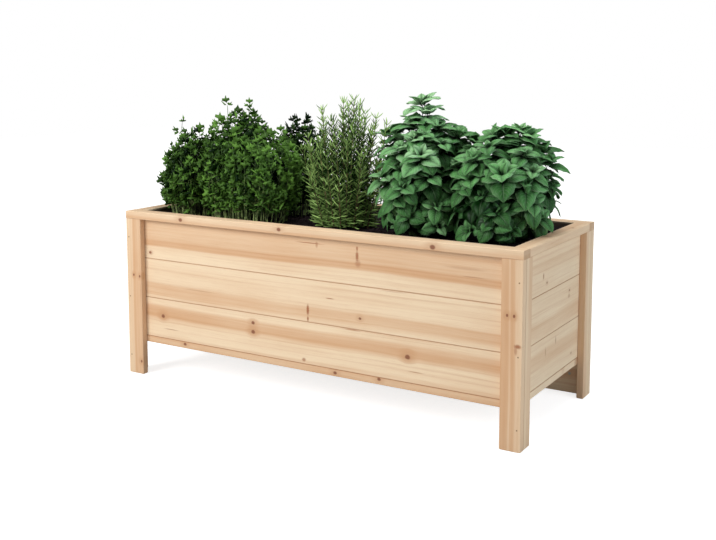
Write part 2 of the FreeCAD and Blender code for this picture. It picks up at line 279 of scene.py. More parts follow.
def wood(name, look, colours):
    """Planed softwood: pale sapwood, darker heartwood bands, fine growth lines, knots and end grain."""
    s = new_skin(name)
    place = s.split(s.place())
    along = place[look.grain]
    across = place[look.across]
    depth = place[3 - look.grain - look.across]
    shift = look.seed * SEED_STEP

    def grain(dense, over, start, detail, roughness=0.5):
        """Noise that is drawn out along the grain."""
        spot = s.vector(along * dense[0] + start, over * dense[1], depth * dense[2])
        return s.noise(spot, 1.0, detail, roughness)

    wander = grain(GRAIN_WANDER, across, shift, 2.0) - 0.5
    knot_core = 0.0
    knot_halo = 0.0
    bent = across
    for at, over, radius in look.knots:
        da = along - at
        db = across - over
        wobble = s.noise(s.vector(da * KNOT_GRAIN, db * KNOT_GRAIN, shift), 1.0, 1.0) - 0.5
        distance = ((da * 0.8) ** 2 + db ** 2).root() + wobble * (radius * 0.5)
        halo = distance.fade(radius * KNOT_HALO[0], radius * KNOT_HALO[1])
        knot_core = distance.fade(radius * KNOT_CORE[0], radius * KNOT_CORE[1]) + knot_core
        knot_halo = halo + knot_halo
        bent = bent - db * halo * 0.75
    lined = bent + wander * 0.012

    growth = grain(GROWTH_LINES, lined, shift, 3.0, 0.62)
    fibre = grain(FIBRES, lined, shift, 2.0, 0.6)
    streak = grain(STREAKS, lined, -shift, 3.0, 0.55)
    blotch = grain(BLOTCHES, across, shift, 2.0)
    heart = (streak - 0.5) * 0.62 + (growth - 0.5) * 0.55 + (blotch - 0.5) * 0.5 + look.tone
    for low, high, blur, strength in look.bands:
        rise = lined.fade(low - blur, low + blur)
        fall = lined.fade(high - blur * 0.6, high + blur * 0.6)
        heart = heart + (rise - fall) * strength
    heart = (heart + knot_halo * 0.10).clamped()

    colour = s.mix(heart, rgba(colours.sapwood), rgba(colours.heartwood))
    fine = growth.fade(0.52, 0.74) * 0.22 + fibre.fade(0.50, 0.78) * 0.26
    colour = s.mix(fine, colour, rgba(colours.growth_line))
    for at, over, half_length, half_width, strength in look.marks:
        reach = (((along - at) / half_length) ** 2 + ((across - over) / half_width) ** 2).root()
        reach = reach + (fibre - 0.5) * 0.9
        colour = s.mix(reach.fade(1.15, 0.35) * strength, colour, rgba(colours.mark))
    if look.knots:
        colour = s.mix(knot_halo.at_most(1.0) * 0.13, colour, rgba(colours.mark))
        colour = s.mix(knot_core.at_most(1.0) * 0.9, colour, rgba(colours.knot))

    # Painted shade, with warm dust, darkens the wood along each joint with the next board.
    for axis, at, strength in look.seams:
        gap = abs(place[axis] - at + wander * 0.0006)
        colour = s.mix(gap.fade(*SEAM_FADE) * strength, colour, rgba(colours.seam))

    normals = s.split(s.node("ShaderNodeNewGeometry", output="Normal"))
    end = abs(normals[look.grain]).fade(0.6, 0.9)
    arc = s.noise(s.vector(depth * END_RINGS[0], lined * END_RINGS[1], shift), 1.0, 2.0)
    colour = s.mix(end * (0.30 + arc * 0.35), colour, rgba(colours.end_grain))
    # The rim's inner face: painted shade where it stands in shadow over the soil, and a soil stain.
    if look.soil_stained_and_shaded:
        inner = (abs(place[0]) - RIM_OPENING.x).at_least(abs(place[1]) - RIM_OPENING.y)
        below = place[2].fade(*(RIM_TOP + drop for drop in SOIL_AND_SHADE_MARK_BELOW))
        soil_stain_and_shade = inner.fade(*SOIL_AND_SHADE_MARK_WIDTH) * abs(normals[2]).fade(0.75, 0.35) * below
        colour = s.mix(soil_stain_and_shade * 0.9, colour, rgba(colours.soil_stain_and_shade))

    height = fibre * 0.5 + growth * 0.5
    if look.knots:
        height = height - knot_core * 0.8
    rough = 0.62 + fibre * 0.14 - heart * 0.06
    return s.surface(
        Base_Color=colour,
        Roughness=rough,
        Normal=s.bump(height, 0.32, WOOD_RELIEF),
        Specular_IOR_Level=0.32,
    )


def seeded_look(grain, across, box, seed, tone):
    """A look for a board that the front doesn't show: one soft band and a few knots from its seed."""
    draw = random.Random(seed)
    low, high = box
    wide = high[across] - low[across]
    start = low[across] + wide * draw.uniform(0.1, 0.5)
    bands = [(start, start + wide * draw.uniform(0.25, 0.5), wide * draw.uniform(0.06, 0.16), 0.5)]
    knots = []
    for _ in range(draw.randint(1, 3)):
        at = draw.uniform(low[grain] + 0.02, high[grain] - 0.02)
        over = draw.uniform(low[across] + wide * 0.15, high[across] - wide * 0.15)
        knots.append((at, over, draw.uniform(0.0022, 0.0046)))
    return WoodLook(grain, across, bands, knots, tone=tone, seed=seed)


# The visible boards' bands, knots and marks, in metres from the middle of the bed's footprint.
SEEN_BOARDS = {
    "front_board_upper": WoodLook(
        0, 2,
        # Its first band is deeper than the heartwood alone, as painted shade under the rim.
        bands=[(0.318, 0.400, 0.0022, 0.54), (0.314, 0.334, 0.010, 0.30)],
        knots=[(-0.451, 0.301, 0.0036)],
        marks=[(0.012, 0.367, 0.040, 0.0016, 0.75), (0.030, 0.365, 0.004, 0.008, 0.5),
               (0.132, 0.350, 0.0045, 0.013, 0.85), (0.132, 0.366, 0.0030, 0.006, 0.8),
               (0.134, 0.334, 0.008, 0.010, 0.45), (0.40, 0.334, 0.030, 0.0014, 0.45),
               (-0.449, 0.301, 0.007, 0.007, 0.30), (0.385, 0.350, 0.05, 0.004, 0.25)],
        tone=0.05, seed=1,
    ),
    "front_board_middle": WoodLook(
        0, 2,
        bands=[(0.198, 0.226, 0.007, 0.60), (0.240, 0.262, 0.012, 0.16)],
        knots=[(0.139, 0.216, 0.0030)],
        marks=[(0.006, 0.218, 0.0042, 0.015, 0.95), (0.006, 0.198, 0.0030, 0.007, 0.9),
               (0.063, 0.250, 0.013, 0.0014, 0.8), (-0.30, 0.224, 0.06, 0.0016, 0.3),
               (0.22, 0.2835, 0.040, 0.0016, 0.3)],
        tone=0.05, seed=2,
    ),
    "front_board_lower": WoodLook(
        0, 2,
        bands=[(0.142, 0.174, 0.008, 0.66), (0.150, 0.163, 0.006, 0.20), (0.092, 0.104, 0.005, 0.30)],
        knots=[(-0.414, 0.149, 0.0050), (-0.144, 0.169, 0.0044), (-0.144, 0.148, 0.0050),
               (0.254, 0.150, 0.0056)],
        marks=[(-0.389, 0.119, 0.026, 0.0013, 0.6), (0.273, 0.120, 0.022, 0.0013, 0.6),
               (-0.005, 0.104, 0.006, 0.005, 0.7), (0.12, 0.1885, 0.024, 0.0016, 0.6)],
        tone=0.08, seed=3,
    ),
    "base_rail_front": WoodLook(
        0, 2, bands=[(0.070, 0.086, 0.006, 0.15)],
        knots=[(-0.347, 0.089, 0.0040), (0.076, 0.087, 0.0040), (0.186, 0.091, 0.0040)],
        tone=0.62, seed=4,
    ),
    "rim_front": WoodLook(
        0, 2, bands=[(0.376, 0.392, 0.004, 0.38)],
        knots=[(-0.340, 0.391, 0.0050), (-0.059, 0.3925, 0.0048), (0.318, 0.389, 0.0056)],
        tone=0.36, seed=5,
    ),
    "rim_right": WoodLook(
        1, 0, bands=[(0.486, 0.500, 0.004, 0.25)], knots=[(0.10, 0.500, 0.0030)], tone=0.40, seed=6,
    ),
    "leg_front_right_face_board": WoodLook(
        2, 0,
        bands=[(0.450, 0.497, 0.0030, 0.46), (0.4835, 0.4875, 0.0012, -0.26)],
        knots=[(0.271, 0.480, 0.0028), (0.271, 0.4945, 0.0030)],
        marks=[(0.212, 0.503, 0.005, 0.0085, 0.85), (0.203, 0.499, 0.010, 0.004, 0.5)],
        seams=[(1, -LEG_JOINT, 0.45)], tone=0.40, seed=7,
    ),
    "leg_front_left_face_board": WoodLook(
        2, 0,
        bands=[(-0.493, -0.460, 0.003, 0.45)],
        knots=[(0.245, -0.491, 0.0028), (0.243, -0.472, 0.0030), (0.032, -0.4725, 0.0032)],
        marks=[(0.205, -0.470, 0.030, 0.0016, 0.3)],
        seams=[(1, -LEG_JOINT, 0.45)], tone=0.34, seed=8,
    ),
    "leg_front_right_side_board": WoodLook(
        2, 1, bands=[(-0.182, -0.160, 0.004, 0.30)], seams=[(1, -LEG_JOINT, 0.45)], tone=0.20, seed=9,
    ),
    "leg_back_right_side_board": WoodLook(
        2, 1, bands=[(0.150, 0.178, 0.004, 0.36)], seams=[(1, LEG_JOINT, 0.45)], tone=0.22, seed=13,
    ),
    "right_board_upper": WoodLook(
        1, 2, bands=[(0.330, 0.352, 0.010, 0.30)], knots=[(-0.04, 0.305, 0.0024)],
        marks=[(-0.06, 0.322, 0.004, 0.008, 0.7), (-0.135, 0.352, 0.003, 0.010, 0.35)], tone=0.14, seed=10,
    ),
    "right_board_middle": WoodLook(
        1, 2, bands=[(0.198, 0.232, 0.010, 0.30)], knots=[(0.10, 0.262, 0.0022)],
        marks=[(0.098, 0.250, 0.008, 0.006, 0.4)], tone=0.14, seed=11,
    ),
    "right_board_lower": WoodLook(
        1, 2, bands=[(0.134, 0.164, 0.010, 0.32)],
        knots=[(0.12, 0.116, 0.0018)],
        marks=[(0.02, 0.170, 0.003, 0.010, 0.6), (-0.04, 0.158, 0.003, 0.012, 0.45)], tone=0.14, seed=12,
    ),
}


# The axis that the grain runs along and the axis across the face, in each kind of board.
X, Y, Z = 0, 1, 2
BOARD_KINDS = (
    ("leg_(front|back)_(left|right)_face_board", Z, X),
    ("leg_(front|back)_(left|right)_side_board", Z, Y),
    ("(rim|base_rail)_(front|back)", X, Y),
    ("(rim|base_rail)_(left|right)|floor_slat_[0-9]+", Y, X),
    ("(front|back)_board_.*", X, Z),
    ("(left|right)_board_.*", Y, Z),
    ("batten_(front|back)", Z, X),
)


def wooden_nodes():
    """Every board of the bed with its grain's axis and the axis across its face."""
    for name in frame["nodes"]:
        for kind, grain, across in BOARD_KINDS:
            if re.fullmatch(kind, name):
                yield name, grain, across


# ---- modelling helpers -------------------------------------------------------------------------
def deselect_all():
    for thing in bpy.context.view_layer.objects:
        thing.select_set(False)
    bpy.context.view_layer.objects.active = None


def select_only(thing):
    deselect_all()
    thing.select_set(True)
    bpy.context.view_layer.objects.active = thing


def fresh(primitive, name, **sizes):
    """Adds a primitive with nothing else selected, and names it."""
    deselect_all()
    primitive(**sizes)
    made = bpy.context.object
    made.name = name
    made.data.name = name
    return made


def pick_vertices(thing, test):
    """In edit mode, selects just the vertices that pass the test."""
    bpy.ops.object.mode_set(mode="OBJECT")
    for polygon in thing.data.polygons:
        polygon.select = False
    for line in thing.data.edges:
        line.select = False
    for vertex in thing.data.vertices:
        vertex.select = test(vertex.co)
    bpy.ops.object.mode_set(mode="EDIT")
    bpy.ops.mesh.select_mode(type="VERT")


def finish_with(thing, kind, **settings):
    """Adds a modifier and applies it."""
    modifier = thing.modifiers.new(kind.title(), kind)
    for key, value in settings.items():
        setattr(modifier, key, value)
    select_only(thing)
    bpy.ops.object.modifier_apply(modifier=modifier.name)


def settle(thing):
    """Puts the piece's place, turn and scale into its mesh."""
    select_only(thing)
    bpy.ops.object.transform_apply(location=True, rotation=True, scale=True)


def keep_mesh(thing):
    """Takes a modelled shape's mesh and removes its object from the scene."""
    mesh = thing.data
    bpy.data.objects.remove(thing)
    return mesh


def copies_of(mesh, name, places, tints):
    """One piece that holds a copy of a modelled mesh at every place, each with its own tint."""
    corners = np.empty(len(mesh.vertices) * 3)
    mesh.vertices.foreach_get("co", corners)
    corners = np.c_[corners.reshape(-1, 3), np.ones(len(mesh.vertices))]
    loops = np.empty(len(mesh.loops), dtype=np.int32)
    mesh.loops.foreach_get("vertex_index", loops)
    starts = np.empty(len(mesh.polygons), dtype=np.int32)
    mesh.polygons.foreach_get("loop_start", starts)
    uv = np.zeros(len(mesh.loops) * 2, dtype=np.float32)
    if mesh.uv_layers:
        mesh.uv_layers[0].data.foreach_get("uv", uv)

    count = len(places)
    matrices = np.array([[list(row) for row in place] for place in places])
    moved = np.einsum("nij,kj->nki", matrices, corners)[:, :, :3].reshape(-1, 3)
    steps = np.arange(count, dtype=np.int32)[:, None]
    made = bpy.data.meshes.new(name)
    made.vertices.add(len(moved))
    made.vertices.foreach_set("co", moved.ravel())
    made.loops.add(len(loops) * count)
    made.loops.foreach_set("vertex_index", (loops[None, :] + steps * len(mesh.vertices)).ravel())
    made.polygons.add(len(starts) * count)
    made.polygons.foreach_set("loop_start", (starts[None, :] + steps * len(loops)).ravel())
    made.uv_layers.new(name="leaf").data.foreach_set("uv", np.tile(uv, count))
    tint = made.attributes.new("tint", "FLOAT", "POINT")
    tint.data.foreach_set("value", np.repeat(np.array(tints, dtype=np.float32), len(mesh.vertices)))
    made.update(calc_edges=True)
    made.validate()
    made.polygons.foreach_set("use_smooth", np.ones(len(made.polygons), dtype=bool))
    thing = bpy.data.objects.new(name, made)
    bpy.context.scene.collection.objects.link(thing)
    return thing


def stalks(name, lines, sides=1):
    """One piece of thin tapering stalks. A line is a list of (point, radius)."""
    curve = bpy.data.curves.new(name, "CURVE")
    curve.dimensions = "3D"
    curve.bevel_depth = 1.0
    curve.bevel_resolution = sides
    curve.use_fill_caps = True
    for line in lines:
        spline = curve.splines.new("POLY")
        spline.points.add(len(line) - 1)
        for target, (point, radius) in zip(spline.points, line):
            target.co = (*point, 1.0)
            target.radius = radius
    thing = bpy.data.objects.new(name, curve)
    bpy.context.scene.collection.objects.link(thing)
    select_only(thing)
    bpy.ops.object.convert(target="MESH")
    thing = bpy.context.object
    bpy.ops.object.shade_smooth()
    return thing


def finish_node(name, material):
    """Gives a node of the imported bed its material."""
    mesh = frame["nodes"][name].data
    mesh.materials.clear()
    mesh.materials.append(material)


def dress(thing, material, node=None):
    """Gives a piece its material and its body, and hides the node that it stands for."""
    thing.data.materials.clear()
    thing.data.materials.append(material)
    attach(thing, "root")
    if node:
        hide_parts(node)
    return thing


# ---- leaves ------------------------------------------------------------------------------------
# A mint leaf's width at even steps from its foot to its point, as shares of its length.
MINT_WIDTHS = (0.05, 0.50, 0.66, 0.76, 0.68, 0.60, 0.36, 0.03)
# How far each of a parsley leaflet's twelve corners reaches, going round from its tip: three lobes.
PARSLEY_LOBES = (1.06, 0.50, 0.98, 0.92, 0.40, 0.40, 0.55, 0.40, 0.40, 0.92, 0.98, 0.50)
# A rosemary needle's three stretches: length, widening and lift, from its foot to its blunt tip.
NEEDLE_STRETCHES = ((0.30, 2.0, 0.012), (0.45, 0.9, -0.02), (0.25, 0.2, -0.04))


def mint_leaf():
    """A leaf one unit long from its foot, oval and pointed, folded at the midrib and curled."""
    rows = len(MINT_WIDTHS) - 1
    add_grid = bpy.ops.mesh.primitive_grid_add
    leaf = fresh(add_grid, "mint_leaf", x_subdivisions=4, y_subdivisions=rows, size=1.0)
    bpy.ops.object.mode_set(mode="EDIT")
    for row, width in enumerate(MINT_WIDTHS):
        share = row / rows
        level = share - 0.5
        pick_vertices(leaf, lambda co: abs(co.y - level) < 0.02)
        bpy.ops.transform.resize(value=(width, 1, 1), center_override=(0, level, 0))
        bpy.ops.transform.translate(value=(0, 0, 0.10 * math.sin(math.pi * share) - 0.34 * share ** 2.4))
    pick_vertices(leaf, lambda co: abs(co.x) < 0.004 and co.y < 0.4)
    bpy.ops.transform.translate(value=(0, 0, -0.09))
    pick_vertices(leaf, lambda co: abs(co.x) > 0.19)
    bpy.ops.transform.translate(value=(0, 0, -0.06))
    bpy.ops.mesh.select_all(action="SELECT")
    bpy.ops.transform.translate(value=(0, 0.5, 0))
    bpy.ops.object.mode_set(mode="OBJECT")
    finish_with(leaf, "SOLIDIFY", thickness=0.012, offset=-1.0)
    return keep_mesh(leaf)


def parsley_leaflet():
    """A leaflet one unit long from its foot, with three toothed lobes and lifted edges."""
    corners = len(PARSLEY_LOBES)
    add_circle = bpy.ops.mesh.primitive_circle_add
    leaf = fresh(add_circle, "parsley_leaflet", vertices=corners, radius=0.5, fill_type="TRIFAN")
    bpy.ops.object.mode_set(mode="EDIT")
    for k, reach in enumerate(PARSLEY_LOBES):
        angle = math.pi * k / (corners / 2)
        spot = Vector((math.sin(angle), math.cos(angle))) * 0.5
        pick_vertices(leaf, lambda co: (co.xy - spot).length < 0.03)
        bpy.ops.transform.resize(value=(reach, reach, 1), center_override=(0, 0, 0))
        bpy.ops.transform.translate(value=(0, 0, 0.10 * (reach - 0.6) - 0.12 * abs(math.sin(angle))))
    bpy.ops.mesh.select_all(action="SELECT")
    bpy.ops.transform.translate(value=(0, 0.40, 0))
    bpy.ops.object.mode_set(mode="OBJECT")
    finish_with(leaf, "SOLIDIFY", thickness=0.03, offset=-1.0)
    return keep_mesh(leaf)


def rosemary_needle():
    """A needle one unit long from its foot, blunt and a little curved, four sides round."""
    add_circle = bpy.ops.mesh.primitive_circle_add
    needle = fresh(add_circle, "rosemary_needle", vertices=4, radius=0.031, fill_type="NGON")
    bpy.ops.object.mode_set(mode="EDIT")
    for rise, widen, lift in NEEDLE_STRETCHES:
        bpy.ops.mesh.extrude_region_move(TRANSFORM_OT_translate={"value": (0, lift, rise)})
        bpy.ops.transform.resize(value=(widen, widen, 1))
    bpy.ops.mesh.select_all(action="SELECT")
    bpy.ops.transform.resize(value=(1, 0.8, 1), center_override=(0, 0, 0))
    bpy.ops.mesh.normals_make_consistent(inside=False)
    bpy.ops.object.mode_set(mode="OBJECT")
    needle.rotation_euler = (-math.pi / 2, 0, 0)
    settle(needle)
    return keep_mesh(needle)


def leaf_place(foot, ahead, up, length, width=1.0):
    """Where a leaf goes: its foot, the way it points, the way its upper face looks, and its size."""
    ahead = ahead.normalized()
    side = ahead.cross(up)
    if side.length < 1e-4:
        side = ahead.orthogonal()
    side.normalize()
    up = side.cross(ahead)
    turn = Matrix((side * width, ahead, up)).transposed().to_4x4()
    return Matrix.Translation(foot) @ turn @ Matrix.Scale(length, 4)


def bowed(foot, tip, rise, steps):
    """Points of a stem that leaves its foot steeply and leans out to its tip."""
    handle = foot + (tip - foot) * 0.45 + Vector((0, 0, rise))
    points = []
    for k in range(steps + 1):
        t = k / steps
        points.append(foot * (1 - t) ** 2 + handle * 2 * t * (1 - t) + tip * t * t)
    return points


def along(points, share):
    """The point and direction at a share of the way along a line of points."""
    place = min(max(share, 0.0), 0.9999) * (len(points) - 1)
    k = int(place)
    return points[k].lerp(points[k + 1], place - k), (points[k + 1] - points[k]).normalized()


def dome_tips(draw, count, middle, radii, lowest):
    """Points spread by the golden angle over a squarish dome that draws in below its middle."""
    tips = []
    for k in range(count):
        level = 1 - (1 - lowest) * (k + 0.5) / count
        ring = max(0.0, 1 - abs(level) ** 2.6) ** 0.42 * (1 + 0.28 * min(0.0, level))
        angle = k * GOLDEN_ANGLE + draw.uniform(-0.25, 0.25)
        size = draw.uniform(0.88, 1.04)
        out = Vector((ring * math.cos(angle) * radii[0], ring * math.sin(angle) * radii[1], level * radii[2]))
        tips.append(middle + out * size)
    return tips


class Plant:
    """One herb: the node that it stands for, its crown, its domes of foliage and its taller shoots.

    A dome is (number of shoots, middle, radii, lowest level), with its lowest level as a share of its
    height below its middle. dim darkens the plant (only the front of a mint), and is painted shade on the
    back parsley, which stands in shadow; leader_dim darkens each of its taller shoots.
    """

    def __init__(self, node, crown, domes, leaders=(), seed=0, dim=0.0, leader_dim=()):
        self.node = node
        self.crown = Vector((*crown, SOIL_TOP))
        self.domes = domes
        self.leaders = [Vector(tip) for tip in leaders]
        self.middle = Vector(domes[0][1])
        self.draw = random.Random(seed)
        self.dim = dim
        self.leader_dim = leader_dim

    def tips(self):
        tips = list(self.leaders)
        for count, middle, radii, lowest in self.domes:
            tips += dome_tips(self.draw, count, Vector(middle), radii, lowest)
        return tips

    def foot(self, tip, spread):
        """Where a stem leaves the soil: near the crown, on the side that it leans to."""
        lean = (tip - self.crown) * spread
        return self.crown + Vector((lean.x, lean.y, -0.004))

    def outward(self, spot):
        """The way out of the foliage at a spot, turned a little towards the light."""
        way = spot - self.middle
        return (way.normalized() + Vector((-0.15, -0.55, 0.45))).normalized()


HERBS = (
    Plant(
        "parsley_left", (-0.424, -0.062),
        [(86, (-0.416, -0.064, 0.464), (0.059, 0.080, 0.104), -0.56),
         (22, (-0.424, -0.064, 0.455), (0.040, 0.050, 0.084), -0.5)],
        leaders=[(-0.455, -0.067, 0.596), (-0.396, -0.070, 0.574), (-0.472, -0.070, 0.528),
                 (-0.425, -0.070, 0.566)], seed=21,
    ),
    Plant(
        "parsley_middle", (-0.290, -0.040),
        [(84, (-0.298, -0.040, 0.488), (0.070, 0.092, 0.126), -0.62),
         (74, (-0.208, -0.056, 0.478), (0.076, 0.090, 0.106), -0.60),
         (42, (-0.288, -0.036, 0.514), (0.050, 0.060, 0.106), -0.4)],
        leaders=[(-0.331, -0.040, 0.646), (-0.266, -0.040, 0.642), (-0.228, -0.040, 0.594),
                 (-0.298, -0.040, 0.618), (-0.168, -0.040, 0.556), (-0.258, -0.040, 0.628),
                 (-0.350, -0.040, 0.572), (-0.232, -0.090, 0.560)], seed=22,
    ),
    # The back parsley stands in shadow: its dim paints that shade onto its leaves.
    Plant(
        "parsley_back", (-0.208, 0.095),
        [(60, (-0.205, 0.095, 0.484), (0.054, 0.058, 0.112), -0.85)],
        leaders=[(-0.226, 0.090, 0.602), (-0.190, 0.090, 0.600), (-0.208, 0.084, 0.600),
                 (-0.238, 0.086, 0.572), (-0.176, 0.086, 0.576), (-0.216, 0.078, 0.592),
                 (-0.198, 0.098, 0.594)], seed=23, dim=0.30,
    ),
    Plant(
        "rosemary", (-0.014, -0.015),
        [(46, (-0.008, -0.015, 0.50), (0.100, 0.090, 0.16), 0)], seed=24,
    ),
    Plant(
        "mint_middle", (0.195, -0.020),
        [(42, (0.210, -0.028, 0.486), (0.097, 0.108, 0.128), -0.66),
         (12, (0.206, -0.020, 0.450), (0.055, 0.060, 0.080), -0.3)],
        leaders=[(0.194, -0.020, 0.664), (0.212, -0.030, 0.644), (0.182, -0.030, 0.622),
                 (0.226, -0.010, 0.612), (0.160, -0.010, 0.606), (0.270, 0.000, 0.594),
                 (0.300, 0.020, 0.580), (0.096, 0.000, 0.590), (0.128, -0.010, 0.596),
                 (0.322, 0.000, 0.535), (0.210, -0.090, 0.588), (0.240, -0.115, 0.560)],
        seed=25, leader_dim=(-0.05, 0.0, 0.0, 0.15, 0.5, 0.30, 0.35, 0.6, 0.6, 0.40, -0.18, -0.15),
    ),
    Plant(
        "mint_right", (0.390, 0.000),
        [(44, (0.383, -0.014, 0.474), (0.099, 0.117, 0.118), -0.66),
         (12, (0.388, -0.010, 0.445), (0.060, 0.062, 0.076), -0.3)],
        leaders=[(0.408, 0.020, 0.606), (0.362, -0.010, 0.596), (0.454, 0.020, 0.568),
                 (0.386, 0.000, 0.600), (0.430, 0.010, 0.598), (0.476, 0.010, 0.548),
                 (0.352, -0.090, 0.553), (0.426, -0.115, 0.530)],
        seed=26, dim=0.24, leader_dim=(0.30, 0.30, 0.35, 0.30, 0.35, 0.30, -0.16, -0.06),
    ),
)
PLANTS = {plant.node: plant for plant in HERBS}


class Habit:
    """How a kind of herb grows, and how light its leaves are.

    foot is how far a stem's foot stands out towards its tip, rise how far the stem swings up, steps
    its number of pieces, and taper the share of its radius that it loses. tint is (inmost, gain
    towards the outside, spread), where nought is the darkest colour of a leaf and one the palest; the
    gain paints shade onto leaves deep inside the foliage.
    """

    def __init__(self, foot, rise, steps, radius, taper, tint):
        self.foot = foot
        self.rise = rise
        self.steps = steps
        self.radius = radius
        self.taper = taper
        self.inmost, self.gain, self.spread = tint

    def stem(self, plant, tip):
        """The points of a stem from the soil to its tip, and the tapering line along them."""
        points = bowed(plant.foot(tip, self.foot), tip, self.rise, self.steps)
        line = [(p, self.radius * (1 - self.taper * k / self.steps)) for k, p in enumerate(points)]
        return points, line

    def tint(self, draw, depth, extra):
        return self.inmost + self.gain * depth + extra + draw.uniform(-self.spread, self.spread)


# Their tints hold painted shade: leaves deeper in the foliage are darker.
MINT = Habit(foot=0.30, rise=0.030, steps=8, radius=0.0017, taper=0.5, tint=(-1.02, 1.54, 0.14))
PARSLEY = Habit(foot=0.82, rise=0.010, steps=6, radius=0.0014, taper=0.5, tint=(-0.46, 0.95, 0.28))
ROSEMARY = Habit(foot=0.56, rise=-0.012, steps=8, radius=0.0016, taper=0.6, tint=(-0.26, 0.84, 0.36))


def depth_of(plant, spot):
    """How near a spot is to the outside of the foliage: about one at the surface, nought at the middle."""
    shares = []
    for _, middle, radii, _ in plant.domes:
        offset = spot - Vector(middle)
        shares.append(Vector((offset.x / radii[0], offset.y / radii[1], offset.z / radii[2])).length)
    return min(shares)


# Heights of the tall rosemary shoots' tips, each with its place along the bed.
ROSEMARY_TALL = (
    (-0.068, 0.646), (-0.010, 0.662), (0.018, 0.670), (0.076, 0.630), (0.104, 0.616), (-0.034, 0.610),
    (0.048, 0.640), (-0.124, 0.552), (0.034, 0.658), (-0.108, 0.580), (0.004, 0.656),
)
# The distance between rosemary's whorls of needles, and the needles in one.
ROSEMARY_STEP = 0.0108
WHORL = 4

# Where parsley leaves branch off, as shares of the stalk, and how a leaf's three leaflets spread.
PARSLEY_JOINTS = (0.40, 0.56, 0.70, 0.82, 0.92, 1.0)
PARSLEY_SPREAD = ((0.0, 1.0), (1.05, 0.88), (-1.05, 0.88))

# How fast parsley leaves get lighter per metre towards the right side of their plant: painted light on the
# side that faces away from the key lamp.
PARSLEY_PAINTED_LIGHT = 1.3

# Mint and parsley leaves keep this far off the soil.
MINT_CLEARANCE = 0.014
PARSLEY_CLEARANCE = 0.040

# Pairs of mint leaves up a stem: share of its height, angle from the stem, size, and how light they are;
# the lower pairs are darker, as painted shade under the rosettes.
MINT_PAIRS = (
    (0.48, 112, 0.85, -0.25), (0.64, 114, 0.96, -0.14), (0.78, 112, 1.04, -0.08), (0.90, 108, 1.12, 0.02),
    (0.96, 94, 1.08, 0.08), (1.0, 74, 0.92, 0.12), (1.0, 48, 0.66, 0.18), (1.0, 20, 0.38, 0.24),
)


def grow_mint(plant, leaf, look):
    """Stems with pairs of leaves turned a quarter at each joint, and a rosette at the tip."""
    draw = plant.draw
    leaves, tints, lines = [], [], []
    for number, tip in enumerate(plant.tips()):
        leads = number < len(plant.leaders)
        points, line = MINT.stem(plant, tip)
        lines.append(line)
        turn = draw.uniform(0, math.pi)
        shade = draw.uniform(-0.14, 0.14) - (plant.leader_dim[number] if leads else 0.0)
        size = draw.uniform(0.88, 1.12) * look.mint_length
        for share, open_angle, scale, light in MINT_PAIRS:
            spot, ahead = along(points, share)
            ahead = (ahead + Vector((0, 0, 0.6))).normalized()
            side = ahead.orthogonal().normalized()
            away = (spot - plant.middle).normalized()
            # Painted shade on the back of the plant, away from the lamps; dim darkens its front.
            light += shade - plant.dim * max(0.0, -away.y) - 0.16 * max(0.0, away.y)
            if leads and share > 0.8:
                open_angle *= 0.86
                scale = 0.35 + 0.75 * scale
            for half_turn in (0, math.pi):
                out = Matrix.Rotation(turn + half_turn + draw.uniform(-0.2, 0.2), 3, ahead) @ side
                tilt = math.radians(open_angle + draw.uniform(-9, 9))
                heading = ahead * math.cos(tilt) + out * math.sin(tilt)
                face = ahead + plant.outward(spot) * (1.1 if leads else 0.3)
                length = size * scale * draw.uniform(0.88, 1.10)
                if (spot + heading * length).z < SOIL_TOP + MINT_CLEARANCE:
                    continue
                width = draw.uniform(1.02, 1.26)
                leaves.append(leaf_place(spot + heading * 0.002, heading, face, length, width))
                tints.append(MINT.tint(draw, depth_of(plant, spot), light))
            turn += math.pi / 2
    return copies_of(leaf, f"{plant.node}_leaves", leaves, tints), stalks(f"{plant.node}_stems", lines)


def grow_parsley(plant, leaflet, look):
    """Upright pale stalks that branch all the way up into leaves of three toothed leaflets."""
    draw = plant.draw
    leaves, tints, lines = [], [], []
    for number, tip in enumerate(plant.tips()):
        points, line = PARSLEY.stem(plant, tip)
        lines.append(line)
        # dim is painted shade on the back parsley; taller shoots are darker.
        shade = draw.uniform(-0.26, 0.20) - plant.dim - (0.30 if number < len(plant.leaders) else 0.0)
        turn = draw.uniform(0, 2 * math.pi)
        for share in PARSLEY_JOINTS:
            spot, ahead = along(points, share)
            side = ahead.orthogonal().normalized()
            turn += 2.4 + draw.uniform(-0.3, 0.3)
            out = Matrix.Rotation(turn, 3, ahead) @ side
            open_angle = 0.85 if share < 1.0 else 0.15
            heading = (ahead * math.cos(open_angle) + out * math.sin(open_angle)).normalized()
            reach = draw.uniform(0.008, 0.020) * (1.25 - share * 0.55)
            node = spot + heading * reach
            if node.z < SOIL_TOP + PARSLEY_CLEARANCE and draw.random() < 0.5:
                continue
            lines.append([(spot, 0.0006), (node, 0.0005)])
            face = (ahead * 0.8 + plant.outward(spot) * 0.6 + out * draw.uniform(-0.6, 0.6)).normalized()
            size = look.parsley_length * draw.uniform(0.8, 1.15)
            across = heading.cross(face).normalized()
            for lean, scale in PARSLEY_SPREAD:
                point_to = heading * math.cos(lean) + across * math.sin(lean)
                point_to += face * draw.uniform(-0.25, 0.35)
                start = node + (heading * 0.003 if lean == 0 else Vector())
                leaves.append(leaf_place(start, point_to, face, size * scale * draw.uniform(0.85, 1.1)))
                tint = PARSLEY.tint(draw, depth_of(plant, spot), shade)
                # Painted light on the right side of the plant, which faces away from the key lamp.
                tints.append(tint + PARSLEY_PAINTED_LIGHT * max(0.0, spot.x - plant.middle.x - 0.03))
    return copies_of(leaflet, f"{plant.node}_leaves", leaves, tints), stalks(f"{plant.node}_stems", lines)


